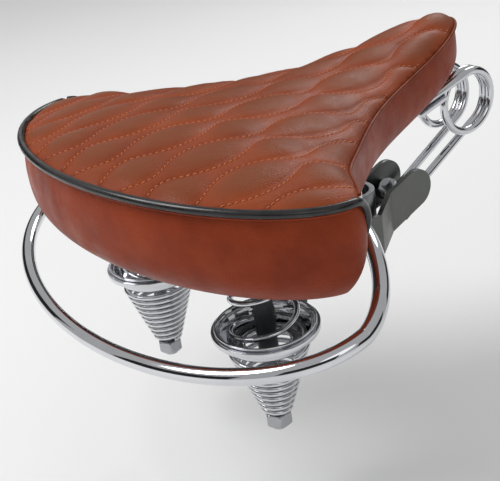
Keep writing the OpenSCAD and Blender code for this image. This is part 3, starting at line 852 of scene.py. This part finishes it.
def finish_metal(names, material, edge):
    """Gives carried-over CAD nodes a material and softened edges."""
    for name in names:
        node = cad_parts[name]
        if not node.material_slots:
            node.data.materials.append(material)
        for place in node.material_slots:
            place.material = material
        node.modifiers.new("weld", "WELD").merge_threshold = 0.01 * mm
        bevel = node.modifiers.new("edges", "BEVEL")
        bevel.width = edge
        bevel.segments = 2
        bevel.limit_method = "ANGLE"
        bevel.angle_limit = math.radians(40)
        bevel.harden_normals = True


# ---------------------------------------------------------------- assembly

def seat_piece(piece, slot, *replaced, fill=None):
    """Hangs a piece on the seat in place of the nodes it replaces. fill is not used."""
    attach(piece, "seat")
    if replaced:
        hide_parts(*replaced)


seat_piece(quilted_cover(), "cover_leather", "cover_top", fill=0.8)
seat_piece(quilt_stitching(), "stitching")
seat_piece(side_seam(), "cover_leather")
seat_piece(seam_stitching(), "stitching")
seat_piece(rear_skirt(), "skirt_leather", "rear_skirt", fill=0.7)
seat_piece(piping(), "piping_vinyl", "edge_piping")
seat_piece(seam_below_piping(), "skirt_leather")
seat_piece(foam_core(), "foam", "foam_pad", fill=0.9)
seat_piece(pan(), "pan_plastic", "base_pan")
seat_piece(pan_ribs(), "pan_plastic")
seat_piece(crash_rail(), "chrome", "crash_rail")
seat_piece(spring_nuts(), "zinc", "spring_nuts")

for side, sign in (("left", -1), ("right", 1)):
    seat_piece(side_panel(f"nose_panel_{side}", sign), "skirt_leather", f"side_panel_{side}", fill=0.7)

    cup = spring_cup(f"cup_{side}", sign)
    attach(cup, "frame")
    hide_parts(f"spring_cup_{side}")

    wire = nose_wire(f"nose_wire_{side}", sign)
    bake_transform(wire)
    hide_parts(f"rail_{side}", f"nose_leg_{side}")

    for kind, make in (("upper", upper_spring), ("lower", lower_spring)):
        node = f"{kind}_spring_{side}"
        coil = make(f"{kind}_coil_{side}", sign)
        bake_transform(coil)
        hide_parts(node)

finish_metal(["side_plate_left", "side_plate_right"], PLATE_STEEL, 0.5 * mm)
finish_metal(["yoke"], CHROME, 0.5 * mm)
finish_metal(["nose_bracket", "crash_rail_clips"], CHROME, 0.4 * mm)
finish_metal(["nose_bracket_bolts", "crash_rail_bolts", "spring_bolt_left", "spring_bolt_right",
              "pan_washers", "yoke_bolts", "bridge_bolt", "bridge_washer", "bridge_nut",
              "tilt_washers", "tilt_bolt", "tilt_nut"], ZINC, 0.3 * mm)
finish_metal(["post_collar"], ALLOY, 0.5 * mm)
finish_metal(["rail_bridge", "bridge_cap"], BLACK_STEEL, 0.4 * mm)
finish_metal(["spring_sleeve_left", "spring_sleeve_right"], RUBBER, 0.3 * mm)


# ---------------------------------------------------------------- studio

def studio_floor():
    """Plain pale floor, a little below the springs."""
    material = new_material("studio_floor", (0.93, 0.93, 0.93), 0.9)
    tone = texture(material, "ShaderNodeTexNoise", 2.0)
    set_socket(material, "Base Color", ramp(material, tone, [(0.3, (0.92,) * 3), (0.7, (0.94,) * 3)]))
    half = 6.0
    z = cad_box[0].z - 50 * mm
    corners = [(-half, -half, z), (half, -half, z), (half, half, z), (-half, half, z)]
    add_mesh("studio_floor", corners, [(0, 1, 2, 3)], material)


def dark_card(name, distance, angle):
    """Dark card out of shot round the saddle, for the dark lines that polished metal shows."""
    material = new_material(name, (0.012, 0.012, 0.013), 0.9)
    half, low, high = 0.36, -0.02, 0.42
    corners = [(-half, 0, low), (half, 0, low), (half, 0, high), (-half, 0, high)]
    card = add_mesh(name, corners, [(0, 1, 2, 3)], material)
    card.location = (distance * math.cos(angle), distance * math.sin(angle), 0)
    card.rotation_euler = (0, 0, angle + math.pi / 2)
    card.visible_camera = False
    card.visible_diffuse = False
    card.visible_shadow = False


def area_light(name, place, size, power):
    """Round soft light, aimed at the middle of the saddle."""
    aim = (0, -0.04, 0.05)
    lamp = bpy.data.lights.new(name, "AREA")
    lamp.shape = "DISK"
    lamp.size = size
    lamp.energy = power
    light = bpy.data.objects.new(name, lamp)
    light.location = place
    light.rotation_euler = (Vector(aim) - Vector(place)).to_track_quat("-Z", "Y").to_euler()
    bpy.context.scene.collection.objects.link(light)


def studio_world():
    """Even white surroundings."""
    world = bpy.data.worlds.new("studio")
    world.use_nodes = True
    world.node_tree.nodes["Background"].inputs["Color"].default_value = (1, 1, 1, 1)
    world.node_tree.nodes["Background"].inputs["Strength"].default_value = 0.45
    bpy.context.scene.world = world
    bpy.context.scene.view_settings.view_transform = "Standard"


def photo_camera():
    """Three quarter view from the rear right, a little above, with the slight roll of a hand-held shot."""
    lens = bpy.data.cameras.new("camera")
    lens.lens = 70.3
    lens.sensor_width = 36
    lens.clip_start = 0.01
    camera = bpy.data.objects.new("camera", lens)
    azimuth, elevation, roll = (math.radians(a) for a in (57.0, 25.4, -8.4))
    back = Vector((math.sin(azimuth) * math.cos(elevation), -math.cos(azimuth) * math.cos(elevation),
                   math.sin(elevation)))
    turn = (-back).to_track_quat("-Z", "Y").to_matrix() @ Matrix.Rotation(roll, 3, "Z")
    camera.matrix_world = Matrix.Translation((0.410, -0.341, 0.2457)) @ turn.to_4x4()
    bpy.context.scene.collection.objects.link(camera)
    bpy.context.scene.camera = camera


studio_floor()
studio_world()
area_light("key", (-0.5, -0.9, 1.3), size=0.9, power=14)
area_light("fill", (1.2, -0.5, 0.7), size=0.8, power=1.2)
area_light("rim", (-0.6, 1.0, 0.8), size=0.6, power=4)
CARDS = 6
for card in range(CARDS):
    dark_card(f"card_{card}", distance=1.0, angle=TURN * (card + 0.3) / CARDS)
photo_camera()
